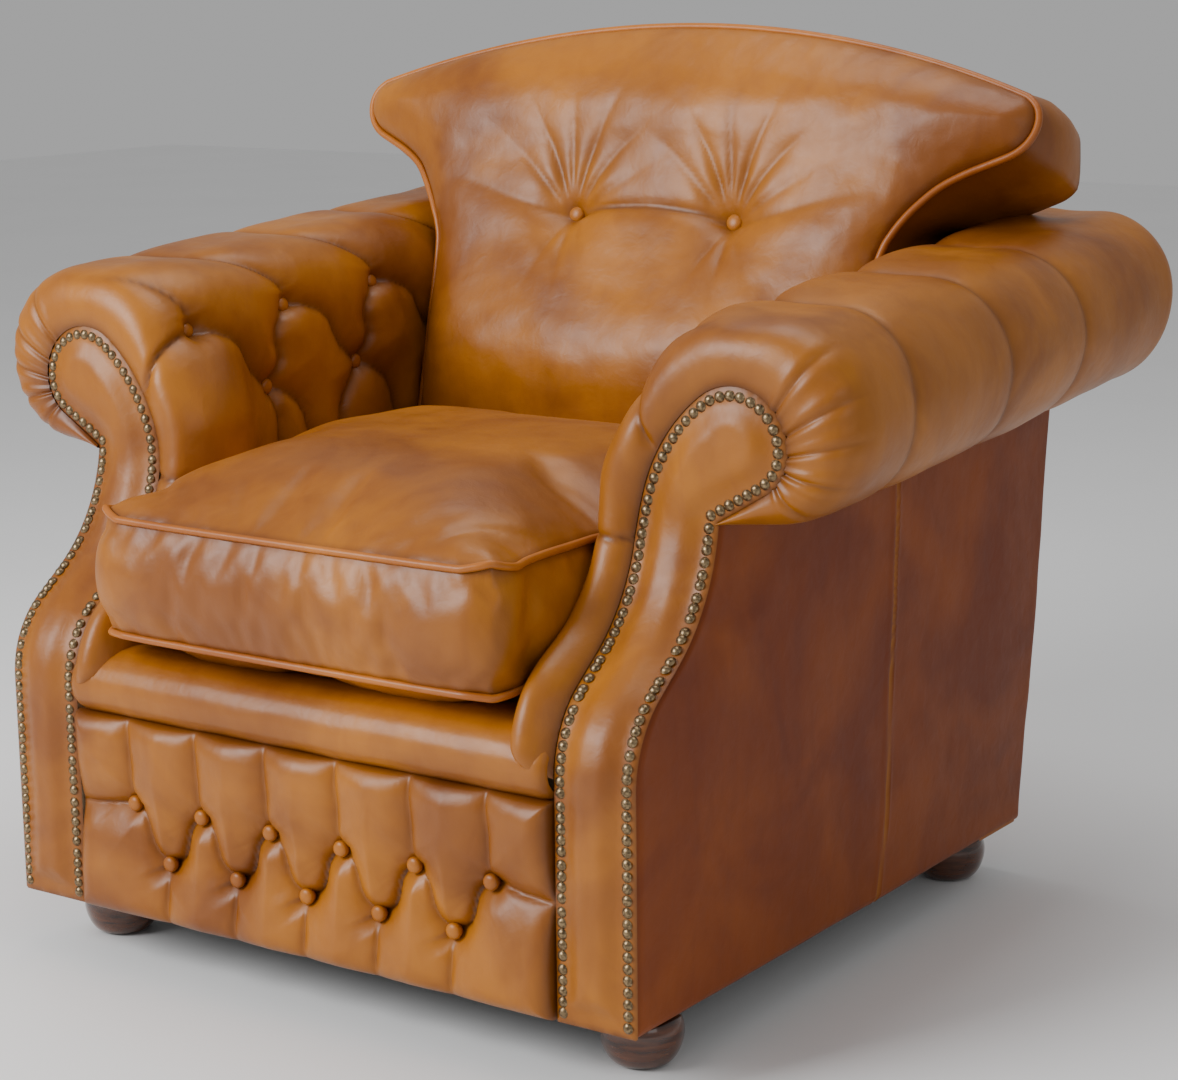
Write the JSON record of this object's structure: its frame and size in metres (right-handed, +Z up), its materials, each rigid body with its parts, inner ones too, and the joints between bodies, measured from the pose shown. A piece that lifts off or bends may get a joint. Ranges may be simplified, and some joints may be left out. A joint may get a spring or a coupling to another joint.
{
  "type": "upholstered armchair",
  "caption": "Leather armchair with nailed scroll arms, a crowned buttoned back with ears over the arms, a buttoned front panel, bun feet and a loose seat cushion.",
  "frame": {"origin": "on the floor, at the middle of the chair's width and depth", "axes": "+X across the chair to the viewer's right, +Y to the back, +Z up"},
  "size_m": [1.092, 0.9208, 0.963],
  "materials": {
    "bolt_steel": "zinc plated",
    "brass_nails": "antiqued brass, satin",
    "button_leather": "semi-gloss tan leather",
    "dust_cloth": "black non-woven cloth",
    "foam": "foam with fibre wrap",
    "foot_wood": "gloss dark mahogany stain",
    "frame_wood": "raw beech",
    "glide": "satin",
    "hessian": "coarse jute weave",
    "leather": "semi-gloss antiqued tan leather",
    "lining": "felt pad under platform lining",
    "outer_leather": "semi-gloss antiqued tan leather, darker",
    "piping_leather": "semi-gloss tan leather over cord",
    "spring_steel": "oiled spring wire",
    "webbing": "woven jute strap",
    "zip_metal": "satin",
    "zip_tape": "brown zip tape"
  },
  "bodies": {
    "root": {"arm_buttons_left": "button_leather", "arm_buttons_right": "button_leather", "arm_front_border_left": "leather", "arm_front_border_right": "leather", "arm_post_left": "frame_wood", "arm_post_right": "frame_wood", "arm_roll_left": "leather", "arm_roll_right": "leather", "arm_tack_rail_left": "frame_wood", "arm_tack_rail_right": "frame_wood", "arm_top_rail_left": "frame_wood", "arm_top_rail_right": "frame_wood", "back_border": "leather", "back_buttons": "button_leather", "back_pad": "leather", "back_piping": "piping_leather", "back_rail": "frame_wood", "back_stay_rail": "frame_wood", "back_webbing": "webbing", "corner_blocks": "frame_wood", "crest_padding": "leather", "crest_rail": "frame_wood", "dust_cover": "dust_cloth", "facing_left": "leather", "facing_nails_left": "brass_nails", "facing_nails_right": "brass_nails", "facing_right": "leather", "foot_bolts": "bolt_steel", "foot_front_left": "foot_wood", "foot_front_right": "foot_wood", "foot_glides": "glide", "foot_rear_left": "foot_wood", "foot_rear_right": "foot_wood", "front_buttons": "button_leather", "front_lip": "leather", "front_panel": "leather", "front_post_left": "frame_wood", "front_post_right": "frame_wood", "front_rail": "frame_wood", "inner_arm_left": "leather", "inner_arm_right": "leather", "outside_arm_left": "outer_leather", "outside_arm_right": "outer_leather", "outside_back": "outer_leather", "platform_pad": "lining", "rail_bolts": "bolt_steel", "rear_post_left": "frame_wood", "rear_post_right": "frame_wood", "scroll_board_left": "frame_wood", "scroll_board_right": "frame_wood", "seat_hessian": "hessian", "seat_springs": "spring_steel", "side_rail_left": "frame_wood", "side_rail_right": "frame_wood", "spring_clips": "spring_steel"},
    "seat_cushion": {"seat_cover": "leather", "seat_foam": "foam", "seat_piping": "piping_leather", "seat_zip_tape": "zip_tape"},
    "zip_slider": {"seat_zip_slider": "zip_metal"}
  },
  "joints": [
    {"name": "seat_cushion_lift", "type": "slide", "parent": "root", "child": "seat_cushion", "axis": [0, 0, 1], "range_m": [0, 0.25]},
    {"name": "zip_slider_run", "type": "slide", "parent": "seat_cushion", "child": "zip_slider", "axis": [-1, 0, 0], "range_m": [0, 0.42]}
  ]
}
